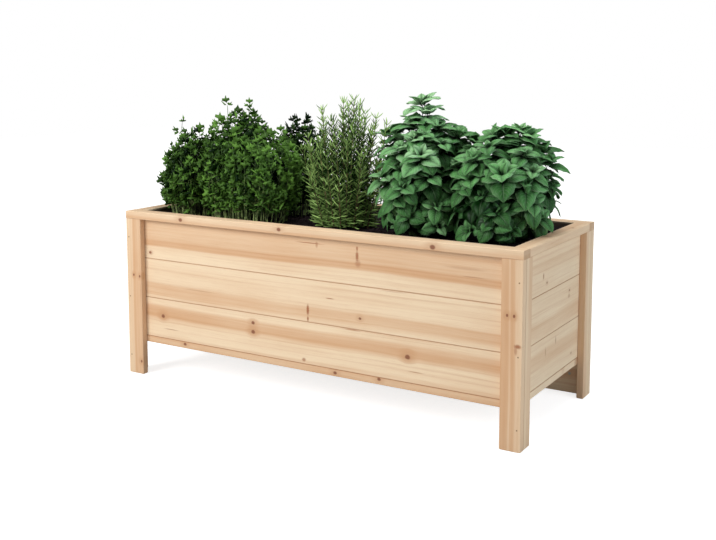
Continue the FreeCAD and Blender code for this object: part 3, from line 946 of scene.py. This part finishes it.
def rosemary_tips(plant):
    """Tips of the rosemary's upright shoots: a fan with a few tall ones."""
    tips = [Vector((x, plant.crown.y - 0.005, z)) for x, z in ROSEMARY_TALL]
    count, middle, radii, _ = plant.domes[0]
    for k in range(count):
        share = math.sqrt((k + 0.5) / count)
        angle = k * GOLDEN_ANGLE
        x = middle[0] + math.cos(angle) * share * radii[0]
        y = middle[1] + math.sin(angle) * share * radii[1]
        z = SOIL_TOP + (0.258 - 0.120 * share ** 3) * plant.draw.uniform(0.78, 1.04)
        tips.append(Vector((x, y, z)))
    return tips


def grow_rosemary(plant, needle, look):
    """Woody upright shoots, clothed with needles that open out towards their feet."""
    draw = plant.draw
    leaves, tints, lines = [], [], []
    for tip in rosemary_tips(plant):
        points, line = ROSEMARY.stem(plant, tip)
        lines.append(line)
        steps = int((tip - points[0]).length / ROSEMARY_STEP)
        turn = draw.uniform(0, math.pi)
        for k in range(1, steps + 1):
            share = k / steps
            spot, ahead = along(points, share)
            side = ahead.orthogonal().normalized()
            open_angle = math.radians(78 - 40 * share + draw.uniform(-12, 12))
            inside = min(1.0, depth_of(plant, spot))
            for number in range(WHORL):
                angle = turn + number * 2 * math.pi / WHORL + draw.uniform(-0.3, 0.3)
                out = Matrix.Rotation(angle, 3, ahead) @ side
                heading = ahead * math.cos(open_angle) + out * math.sin(open_angle)
                size = look.needle_length * (1.10 - 0.36 * share) * draw.uniform(0.8, 1.15)
                leaves.append(leaf_place(spot, heading, ahead, size))
                tints.append(ROSEMARY.tint(draw, inside, -0.12 * share))
            turn += 0.9
    return copies_of(needle, "rosemary_needles", leaves, tints), stalks("rosemary_stems", lines)


# ---- herb finishes -----------------------------------------------------------------------------
VEIN_RELIEF = 0.0026
SKIN_RELIEF = 0.0004
STEM_BLEND = 0.16

# Tips and rims of leaves, then stems from foot to tip. Only mint leaves use theirs: on their ribs, and as
# painted highlights on their rims and on the palest leaves.
PARSLEY_TIP = paint(120, 160, 80)
ROSEMARY_TIP = paint(170, 185, 150)
MINT_RIM_HIGHLIGHT = paint(188, 216, 178)
PARSLEY_STALK = (paint(176, 196, 122), paint(92, 130, 62))
ROSEMARY_BARK = (paint(110, 84, 60), paint(132, 130, 78))
MINT_STEM = (paint(80, 110, 60), paint(48, 84, 38))


def leaf_skin(name, dark, light, tip, veins, rough, gloss):
    """Leaf skin from dark to light by each leaf's tint, which holds painted shade deep in the foliage. Where
    it has veins, it has paler ribs, painted highlights on its rims and on the palest leaves, and painted
    shade at its foot and along its midrib.
    """
    s = new_skin(name)
    tint = s.attribute("tint")
    patch = s.noise(s.place(), 60.0, 2.0) - 0.5
    uv = s.split(s.node("ShaderNodeUVMap", {"uv_map": "leaf"}))
    across = abs(uv[0] - 0.5)
    shade = (tint + patch * 0.35).clamped()
    colour = s.mix(shade, rgba(dark), rgba(light))
    if veins:
        rib = across.fade(0.055, 0.0)
        side = ((uv[1] - across * 0.75) * 50.0).sine().fade(0.35, 1.0) * across.fade(0.0, 0.08)
        # The rim is a painted highlight, brighter on lighter leaves.
        rim = across.fade(0.36, 0.5) * shade
        # Painted shade at the leaf's foot and along its midrib.
        painted_shade_at_foot = uv[1].fade(0.66, 0.05) * 0.70 + across.fade(0.30, 0.0) * 0.36
        # Painted highlight: the palest leaves blend towards the rim colour.
        colour = s.mix(tint.fade(0.45, 1.2) * 0.5, colour, rgba(tip))
        colour = s.mix(painted_shade_at_foot, colour, rgba(dark))
        # Paler ribs and veins, which are the leaf's own, and the painted rim highlight.
        colour = s.mix(rib * 0.14 + side * shade * 0.26 + rim * 0.50, colour, rgba(tip))
        height = (across * 9.0).sine() * 0.3 - rib * 0.8 - side * 0.45
        normal = s.bump(height, 0.9, VEIN_RELIEF)
    else:
        height = s.noise(s.place(), 900.0, 2.0)
        normal = s.bump(height, 0.25, SKIN_RELIEF)
    sheen = rough + (tint - 0.5) * 0.1
    return s.surface(Base_Color=colour, Roughness=sheen, Normal=normal, Specular_IOR_Level=gloss)


def faint(colour, share):
    """A share of a colour's light."""
    return rgba(tuple(part * share for part in colour))


def stem_skin(name, low, high):
    """Stem skin that runs from its foot's colour up to its tip's, dark where the leaves shade it."""
    s = new_skin(name)
    place = s.place()
    height = s.split(place)[2].fade(SOIL_TOP, SOIL_TOP + STEM_BLEND)
    fleck = s.noise(place, 240.0, 2.0)
    shaded = s.noise(place, 75.0, 1.0).fade(0.40, 0.56)
    colour = s.mix(height, rgba(low), rgba(high))
    colour = s.mix(shaded * 0.8, colour, faint(high, 0.12))
    colour = s.mix((fleck - 0.5).at_least(0.0) * 0.8, colour, faint(high, 0.4))
    return s.surface(Base_Color=colour, Roughness=0.55 + fleck * 0.1, Normal=s.bump(fleck, 0.2, 0.0003))


# ---- soil, lining and metal --------------------------------------------------------------------
SOIL_DARK = paint(14, 9, 10)
SOIL_MIDDLE = paint(50, 38, 42)
SOIL_PALE = paint(112, 96, 104)
FELT_DARK = paint(18, 18, 19)
FELT_PALE = paint(46, 45, 46)
NAIL_STEEL = (paint(158, 126, 98), paint(120, 84, 58))
SCREW_ZINC = (paint(190, 186, 172), paint(150, 142, 120))

SOIL_GRID = (150, 56)
# The lumps in the soil's top: their size and height.
SOIL_LUMPS = ((0.050, 0.006), (0.010, 0.0045))
BANK_WIDTH = 0.10
BANK_HEIGHT = 0.010
CRUMB_EDGE = 0.006
FELT_THICKNESS = 0.0010


def soil_skin():
    """Moist dark potting soil with lighter crumbs and bark fibres."""
    s = new_skin("potting_soil")
    place = s.place()
    coarse = s.noise(place, 90.0, 4.0, 0.65)
    fine = s.noise(place, 620.0, 3.0, 0.6)
    crumb = s.node("ShaderNodeTexVoronoi", {"feature": "F1"}, {"Vector": place, "Scale": 260.0})
    colour = s.mix(coarse.fade(0.35, 0.7), rgba(SOIL_DARK), rgba(SOIL_MIDDLE))
    colour = s.mix(fine.fade(0.54, 0.76) * 0.6, colour, rgba(SOIL_PALE))
    height = coarse + fine * 0.5 - crumb * 0.6
    return s.surface(Base_Color=colour, Roughness=0.82 + fine * 0.15, Normal=s.bump(height, 0.9, 0.003),
                     Specular_IOR_Level=0.1)


def felt_skin():
    """Black non-woven felt."""
    s = new_skin("lining_felt")
    fluff = s.noise(s.place(), 900.0, 4.0, 0.7)
    colour = s.mix(fluff, rgba(FELT_DARK), rgba(FELT_PALE))
    return s.surface(Base_Color=colour, Roughness=0.9 + fluff * 0.08, Normal=s.bump(fluff, 0.5, 0.0006))


def steel_skin(name, colour, rust):
    """Dull fastener steel with a trace of rust."""
    s = new_skin(name)
    mottle = s.noise(s.place(), 700.0, 3.0)
    shade = s.mix(mottle.fade(0.45, 0.75) * 0.7, rgba(colour), rgba(rust))
    return s.surface(Base_Color=shade, Metallic=0.75 - mottle * 0.3, Roughness=0.42 + mottle * 0.2,
                     Normal=s.bump(mottle, 0.15, 0.0002))


def cut_round_battens(thing, gap, top):
    """Cuts a notch round each middle batten, up to a height."""
    for name in ("batten_front", "batten_back"):
        low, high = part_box(name)
        size = high - low
        cutter = fresh(bpy.ops.mesh.primitive_cube_add, "notch", size=1.0)
        outside = math.copysign(0.5, low.y)
        cutter.scale = (size.x + 2 * gap, size.y + 2 * gap + 1.0, top - low.z + 0.1)
        cutter.location = ((low.x + high.x) / 2, (low.y + high.y) / 2 + outside, (top + low.z - 0.1) / 2)
        settle(cutter)
        finish_with(thing, "BOOLEAN", operation="DIFFERENCE", object=cutter, solver="EXACT")
        bpy.data.objects.remove(cutter)


def banked(x, y):
    """How far the soil is banked up near the walls, from nought to one, and less at its very edge."""
    reach = min(SOIL_HIGH.x - abs(x), SOIL_HIGH.y - abs(y))
    if reach < 0.003:
        return 0.3
    share = max(0.0, 1 - reach / BANK_WIDTH)
    return share * share * (3 - 2 * share)


def soil_bed():
    """The soil: a block that fills the lining, with an uneven crumbly top."""
    size = SOIL_HIGH - SOIL_LOW
    across, deep = SOIL_GRID
    add_grid = bpy.ops.mesh.primitive_grid_add
    bed = fresh(add_grid, "soil_bed", x_subdivisions=across, y_subdivisions=deep, size=1.0)
    bpy.ops.object.mode_set(mode="EDIT")
    bpy.ops.mesh.select_all(action="SELECT")
    bpy.ops.transform.resize(value=(size.x, size.y, 1), center_override=(0, 0, 0))
    bpy.ops.mesh.extrude_region_move(TRANSFORM_OT_translate={"value": (0, 0, size.z)})
    bpy.ops.mesh.select_all(action="SELECT")
    bpy.ops.mesh.normals_make_consistent(inside=False)
    bpy.ops.object.mode_set(mode="OBJECT")
    top = bed.vertex_groups.new(name="top")
    upper = [v.index for v in bed.data.vertices if v.co.z > size.z * 0.5]
    top.add(upper, 1.0, "REPLACE")
    for scale, depth in SOIL_LUMPS:
        texture = bpy.data.textures.new("soil_lumps", "CLOUDS")
        texture.noise_scale = scale
        finish_with(bed, "DISPLACE", texture=texture, strength=depth, mid_level=0.55, vertex_group="top",
                    direction="Z", texture_coords="LOCAL")
    bank = bed.vertex_groups.new(name="bank")
    for index in upper:
        spot = bed.data.vertices[index].co
        bank.add([index], banked(spot.x, spot.y), "REPLACE")
    finish_with(bed, "DISPLACE", strength=BANK_HEIGHT, mid_level=0.0, vertex_group="bank", direction="Z")
    middle = (SOIL_LOW + SOIL_HIGH) / 2
    bed.location = (middle.x, middle.y, SOIL_LOW.z)
    settle(bed)
    cut_round_battens(bed, 0.0017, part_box("batten_front")[1].z + 0.0005)
    return bed


def soil_crumbs(bed, draw, count):
    """Loose crumbs that lie on the soil, copied from one modelled lump."""
    lump = fresh(bpy.ops.mesh.primitive_ico_sphere_add, "crumb", subdivisions=1, radius=1.0)
    bpy.ops.object.mode_set(mode="EDIT")
    bpy.ops.mesh.select_all(action="SELECT")
    bpy.ops.transform.vertex_random(offset=0.35, seed=5)
    bpy.ops.transform.resize(value=(1, 0.8, 0.7), center_override=(0, 0, 0))
    bpy.ops.object.mode_set(mode="OBJECT")
    mesh = keep_mesh(lump)
    places, tints = [], []
    for _ in range(count):
        size = 0.0011 + 0.0030 * draw.random() ** 3
        above = Vector((draw.uniform(SOIL_LOW.x + CRUMB_EDGE, SOIL_HIGH.x - CRUMB_EDGE),
                        draw.uniform(SOIL_LOW.y + CRUMB_EDGE, SOIL_HIGH.y - CRUMB_EDGE), 1.0))
        spot = bed.ray_cast(above, Vector((0, 0, -1)))[1] + Vector((0, 0, size * 0.25))
        turn = Matrix.Rotation(draw.uniform(0, 6.28), 4, "Z")
        turn = turn @ Matrix.Rotation(draw.uniform(-0.5, 0.5), 4, "X")
        places.append(Matrix.Translation(spot) @ turn @ Matrix.Scale(size, 4))
        tints.append(draw.random())
    return copies_of(mesh, "soil_crumbs", places, tints)


def lining():
    """The felt lining: an open bag against the walls and floor, and its size."""
    low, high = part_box("liner")
    size = high - low
    bag = fresh(bpy.ops.mesh.primitive_cube_add, "liner_bag", size=1.0)
    bag.scale = size
    bag.location = (low + high) / 2
    settle(bag)
    cut_round_battens(bag, 0.0005, high.z + 0.1)
    select_only(bag)
    bpy.ops.object.mode_set(mode="EDIT")
    bpy.ops.mesh.select_all(action="DESELECT")
    bpy.ops.object.mode_set(mode="OBJECT")
    for polygon in bag.data.polygons:
        polygon.select = polygon.normal.z > 0.9
    bpy.ops.object.mode_set(mode="EDIT")
    bpy.ops.mesh.select_mode(type="FACE")
    bpy.ops.mesh.delete(type="FACE")
    bpy.ops.mesh.select_all(action="SELECT")
    bpy.ops.mesh.subdivide(number_cuts=6)
    bpy.ops.object.mode_set(mode="OBJECT")
    finish_with(bag, "SOLIDIFY", thickness=FELT_THICKNESS, offset=-1.0)
    return bag, size


# ---- settings ----------------------------------------------------------------------------------
class WoodSettings(bpy.types.PropertyGroup):
    sapwood: FloatVectorProperty(
        name="Sapwood", description="Palest wood between the bands", subtype="COLOR",
        default=paint(238, 214, 181))
    heartwood: FloatVectorProperty(
        name="Heartwood", description="Broad darker bands", subtype="COLOR", default=paint(212, 167, 126))
    growth_line: FloatVectorProperty(
        name="Growth lines", description="Thin late-wood lines", subtype="COLOR", default=paint(190, 138, 94))
    mark: FloatVectorProperty(
        name="Marks", description="Resin streaks and the halo round a knot", subtype="COLOR",
        default=paint(160, 98, 62))
    knot: FloatVectorProperty(
        name="Knots", description="Core of a knot", subtype="COLOR", default=paint(132, 80, 56))
    end_grain: FloatVectorProperty(
        name="End grain", description="Sawn board ends", subtype="COLOR", default=paint(176, 134, 100))
    # The colour of the rim's inner edge: a soil stain and painted shade.
    soil_stain_and_shade: FloatVectorProperty(
        name="Soiled", description="The rim's inner edge, where the soil has marked it", subtype="COLOR",
        default=paint(58, 42, 38))
    # The colour of the dust and painted shade in the joints between boards.
    seam: FloatVectorProperty(
        name="Seams", description="Warm dust in the joints between boards", subtype="COLOR",
        default=paint(156, 96, 54))


class HerbSettings(bpy.types.PropertyGroup):
    mint_length: FloatProperty(
        name="Mint leaf", description="Length of a full mint leaf", default=0.042, unit="LENGTH")
    parsley_length: FloatProperty(
        name="Parsley leaflet", description="Length of a parsley leaflet", default=0.0240, unit="LENGTH")
    needle_length: FloatProperty(
        name="Rosemary needle", description="Length of a rosemary needle", default=0.027, unit="LENGTH")
    mint_dark: FloatVectorProperty(
        name="Mint shade", description="Darkest mint leaves", subtype="COLOR", default=paint(0, 42, 0))
    mint_light: FloatVectorProperty(
        name="Mint light", description="Brightest mint leaves", subtype="COLOR", default=paint(122, 202, 112))
    parsley_dark: FloatVectorProperty(
        name="Parsley shade", description="Darkest parsley leaflets", subtype="COLOR",
        default=paint(2, 32, 0))
    parsley_light: FloatVectorProperty(
        name="Parsley light", description="Brightest parsley leaflets", subtype="COLOR",
        default=paint(106, 152, 62))
    rosemary_dark: FloatVectorProperty(
        name="Rosemary shade", description="Darkest needles", subtype="COLOR", default=paint(20, 52, 6))
    rosemary_light: FloatVectorProperty(
        name="Rosemary light", description="Palest needles", subtype="COLOR", default=paint(202, 244, 142))
    crumbs: IntProperty(name="Soil crumbs", description="Loose crumbs on the soil", default=2600)


class StageSettings(bpy.types.PropertyGroup):
    camera_place: FloatVectorProperty(
        name="Camera place", description="Where the camera stands", subtype="TRANSLATION", unit="LENGTH",
        default=(1.2168, -1.9907, 0.7547))
    camera_yaw: FloatProperty(
        name="Camera yaw", description="Turn to the left of straight ahead", subtype="ANGLE",
        default=math.radians(31.081))
    camera_pitch: FloatProperty(
        name="Camera pitch", description="Tilt below the horizon", subtype="ANGLE",
        default=math.radians(6.604))
    lens: FloatProperty(
        name="Lens", description="Focal length on a 36 mm sensor", default=50.74, unit="CAMERA")
    rise: FloatProperty(
        name="Lens shift", description="Vertical lens shift", default=-0.1257, subtype="FACTOR")
    key_power: FloatProperty(
        name="Key light", description="Power of the main soft light", default=81.0, unit="POWER")
    ambient: FloatProperty(name="Ambient", description="Strength of the white surroundings", default=0.22)


# ---- operators ---------------------------------------------------------------------------------
class BED_OT_boards(bpy.types.Operator):
    """Gives every board of the bed its own softwood finish"""

    bl_idname = "garden_bed.boards"
    bl_label = "Finish the Boards"

    def execute(self, context):
        colours = context.scene.bed_wood
        for seed, (name, grain, across) in enumerate(wooden_nodes(), start=FIRST_HIDDEN_SEED):
            look = SEEN_BOARDS.get(name) or seeded_look(grain, across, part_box(name), seed, HIDDEN_TONE)
            # Rims get the soil stain and painted shade on their inner edge.
            look.soil_stained_and_shaded = name.startswith("rim_")
            if name.startswith(("front_", "back_", "left_", "right_", "base_rail")):
                look.seams = [(Z, height, SEAM_DEPTH) for height in COURSES]
            finish_node(name, wood(f"{name}_wood", look, colours))
        return {"FINISHED"}


class BED_OT_fasteners(bpy.types.Operator):
    """Finishes the nails, screws and dowels"""

    bl_idname = "garden_bed.fasteners"
    bl_label = "Finish the Fasteners"

    def execute(self, context):
        finish_node("leg_nails", steel_skin("dull_nail_steel", *NAIL_STEEL))
        zinc = steel_skin("zinc_screw_steel", *SCREW_ZINC)
        for name in ("wall_screws", "rail_screws", "batten_screws"):
            finish_node(name, zinc)
        look = WoodLook(Z, X, tone=0.25, seed=90)
        finish_node("rim_dowels", wood("dowel_wood", look, context.scene.bed_wood))
        return {"FINISHED"}


class BED_OT_lining(bpy.types.Operator):
    """Makes the felt lining that holds the soil"""

    bl_idname = "garden_bed.lining"
    bl_label = "Add the Lining"

    def execute(self, context):
        bag, size = lining()
        dress(bag, felt_skin(), "liner")
        return {"FINISHED"}


class BED_OT_soil(bpy.types.Operator):
    """Fills the bed with crumbly potting soil"""

    bl_idname = "garden_bed.soil"
    bl_label = "Fill with Soil"

    def execute(self, context):
        skin = soil_skin()
        bed = dress(soil_bed(), skin, "soil")
        dress(soil_crumbs(bed, random.Random(11), context.scene.bed_herbs.crumbs), skin)
        return {"FINISHED"}


def plant_out(names, grow, leaf, look, skin, stem):
    """Grows the named plants and finishes their leaves and stems."""
    for name in names:
        leaves, stems = grow(PLANTS[name], leaf, look)
        dress(leaves, skin, name)
        dress(stems, stem)


class BED_OT_parsley(bpy.types.Operator):
    """Grows the three parsley plants at the left"""

    bl_idname = "garden_bed.parsley"
    bl_label = "Plant the Parsley"

    def execute(self, context):
        look = context.scene.bed_herbs
        skin = leaf_skin("parsley_leaf", look.parsley_dark, look.parsley_light, PARSLEY_TIP,
                         veins=False, rough=0.46, gloss=0.15)
        stem = stem_skin("parsley_stalk", *PARSLEY_STALK)
        names = ("parsley_left", "parsley_middle", "parsley_back")
        plant_out(names, grow_parsley, parsley_leaflet(), look, skin, stem)
        return {"FINISHED"}


class BED_OT_rosemary(bpy.types.Operator):
    """Grows the rosemary bush in the middle"""

    bl_idname = "garden_bed.rosemary"
    bl_label = "Plant the Rosemary"

    def execute(self, context):
        look = context.scene.bed_herbs
        skin = leaf_skin("rosemary_leaf", look.rosemary_dark, look.rosemary_light, ROSEMARY_TIP,
                         veins=False, rough=0.55, gloss=0.12)
        stem = stem_skin("rosemary_bark", *ROSEMARY_BARK)
        plant_out(("rosemary",), grow_rosemary, rosemary_needle(), look, skin, stem)
        return {"FINISHED"}


class BED_OT_mint(bpy.types.Operator):
    """Grows the two mint plants at the right"""

    bl_idname = "garden_bed.mint"
    bl_label = "Plant the Mint"

    def execute(self, context):
        look = context.scene.bed_herbs
        skin = leaf_skin("mint_leaf", look.mint_dark, look.mint_light, MINT_RIM_HIGHLIGHT,
                         veins=True, rough=0.44, gloss=0.18)
        stem = stem_skin("mint_stem", *MINT_STEM)
        names = ("mint_middle", "mint_right")
        plant_out(names, grow_mint, mint_leaf(), look, skin, stem)
        return {"FINISHED"}


# ---- stage -------------------------------------------------------------------------------------
FLOOR_SIZE = 14.0
FLOOR_GREY = (0.62, 0.62, 0.62, 1.0)
# The floor's glow, as the camera sees it: near the bed, what is added far off, and where it rises.
FLOOR_GLOW = 0.78
FAR_GLOW = 0.22
FAR_FLOOR = (0.8, 1.6)
WHITE = (1.0, 1.0, 1.0)
SKY_BLUE = (0.78, 0.89, 1.0)
# Soft lamps: place, what they face, size, share of the key light's power, and colour.
LAMPS = {
    "key": ((-1.3, -2.7, 1.8), (0, 0, 0.3), 1.6, 1.0, WHITE),
    "top": ((0.2, 0.3, 2.6), (0, 0, 0.4), 1.6, 0.42, WHITE),
    "side": ((3.0, -0.2, 1.3), (0.3, 0, 0.3), 2.0, 0.48, SKY_BLUE),
}


def area_light(name, place, target, size, power, colour):
    """A soft square lamp at a place, turned to face its target."""
    lamp = bpy.data.lights.new(name, "AREA")
    lamp.shape = "SQUARE"
    lamp.size = size
    lamp.energy = power
    lamp.color = colour
    thing = bpy.data.objects.new(name, lamp)
    thing.location = place
    thing.rotation_euler = (Vector(target) - Vector(place)).to_track_quat("-Z", "Y").to_euler()
    bpy.context.scene.collection.objects.link(thing)


def seen_directly(shader):
    """One where a ray comes straight from the camera, and nought elsewhere."""
    return shader.node("ShaderNodeLightPath", output="Is Camera Ray")


class BED_OT_stage(bpy.types.Operator):
    """Sets the pale floor, the soft studio light and the camera"""

    bl_idname = "garden_bed.stage"
    bl_label = "Set the Stage"

    def execute(self, context):
        settings = context.scene.bed_stage
        floor = fresh(bpy.ops.mesh.primitive_plane_add, "floor", size=FLOOR_SIZE)
        s = new_skin("studio_floor")
        x, y, _ = s.split(s.place())
        far = (x ** 2 + y ** 2).root().fade(*FAR_FLOOR)
        matt = s.node("ShaderNodeBsdfDiffuse", None, {"Color": FLOOR_GREY})
        brightness = seen_directly(s) * (far * FAR_GLOW + FLOOR_GLOW)
        glow = s.node("ShaderNodeEmission", None, {"Strength": brightness})
        floor.data.materials.append(s.end_in(s.node("ShaderNodeAddShader", None, (matt, glow))))

        w = Shader(bpy.data.worlds.new("studio"), "ShaderNodeOutputWorld")
        strength = seen_directly(w) * (1.0 - settings.ambient) + settings.ambient
        sky = w.node("ShaderNodeBackground", None, {"Color": rgba(WHITE), "Strength": strength})
        context.scene.world = w.end_in(sky)

        for name, (place, target, size, share, colour) in LAMPS.items():
            area_light(name, place, target, size, settings.key_power * share, colour)

        camera = bpy.data.cameras.new("camera")
        camera.sensor_width = 36.0
        camera.lens = settings.lens
        camera.shift_y = settings.rise
        camera.clip_start = 0.05
        camera.clip_end = 60.0
        eye = bpy.data.objects.new("camera", camera)
        eye.location = settings.camera_place
        eye.rotation_euler = (math.pi / 2 - settings.camera_pitch, 0, settings.camera_yaw)
        context.scene.collection.objects.link(eye)
        context.scene.camera = eye
        context.scene.view_settings.view_transform = "Standard"
        return {"FINISHED"}


class BED_PT_panel(bpy.types.Panel):
    """Buttons for each step of the garden bed"""

    bl_idname = "BED_PT_panel"
    bl_label = "Garden Bed"
    bl_space_type = "VIEW_3D"
    bl_region_type = "UI"
    bl_category = "Garden Bed"

    def draw(self, context):
        for operator in OPERATORS:
            self.layout.operator(operator.bl_idname)
        for group, kind in SETTINGS.items():
            settings = getattr(context.scene, group)
            for name in kind.__annotations__:
                self.layout.prop(settings, name)


OPERATORS = (
    BED_OT_boards, BED_OT_fasteners, BED_OT_lining, BED_OT_soil, BED_OT_parsley, BED_OT_rosemary, BED_OT_mint,
    BED_OT_stage,
)
SETTINGS = {"bed_wood": WoodSettings, "bed_herbs": HerbSettings, "bed_stage": StageSettings}
CLASSES = (*SETTINGS.values(), *OPERATORS, BED_PT_panel)


def register():
    for kind in CLASSES:
        bpy.utils.register_class(kind)
    for name, kind in SETTINGS.items():
        setattr(bpy.types.Scene, name, PointerProperty(type=kind))


def unregister():
    for name in SETTINGS:
        delattr(bpy.types.Scene, name)
    for kind in reversed(CLASSES):
        bpy.utils.unregister_class(kind)


def main():
    register()
    bpy.ops.garden_bed.boards()
    bpy.ops.garden_bed.fasteners()
    bpy.ops.garden_bed.lining()
    bpy.ops.garden_bed.soil()
    bpy.ops.garden_bed.parsley()
    bpy.ops.garden_bed.rosemary()
    bpy.ops.garden_bed.mint()
    bpy.ops.garden_bed.stage()


if __name__ == "__main__":
    main()
